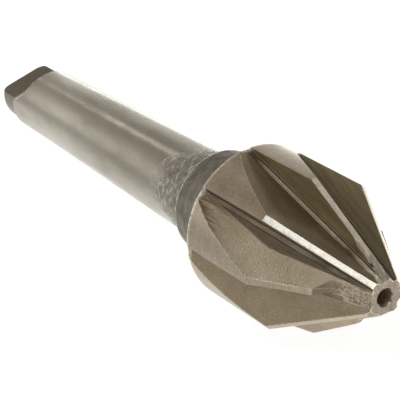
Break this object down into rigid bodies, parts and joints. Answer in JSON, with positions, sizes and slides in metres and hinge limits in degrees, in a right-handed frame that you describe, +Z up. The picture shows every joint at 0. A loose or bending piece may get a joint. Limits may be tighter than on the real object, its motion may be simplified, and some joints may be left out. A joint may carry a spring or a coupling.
{
  "type": "countersink bit",
  "caption": "Worn sixty-degree machine countersink with straight flutes, a short neck and a taper shank with a driving tang.",
  "frame": {"origin": "centre of the bounding box's footprint, on the surface that the tool lies on", "axes": "+Z up; the tool's axis lies in the XZ plane, with the nose towards +X and 5.9 degrees above level"},
  "size_m": [0.132, 0.0314, 0.0332],
  "materials": {
    "tool_steel": "worn ground tool steel, brown-grey on the head and lighter on the shank"
  },
  "bodies": {
    "root": {"countersink_bit": "tool_steel"}
  },
  "joints": []
}
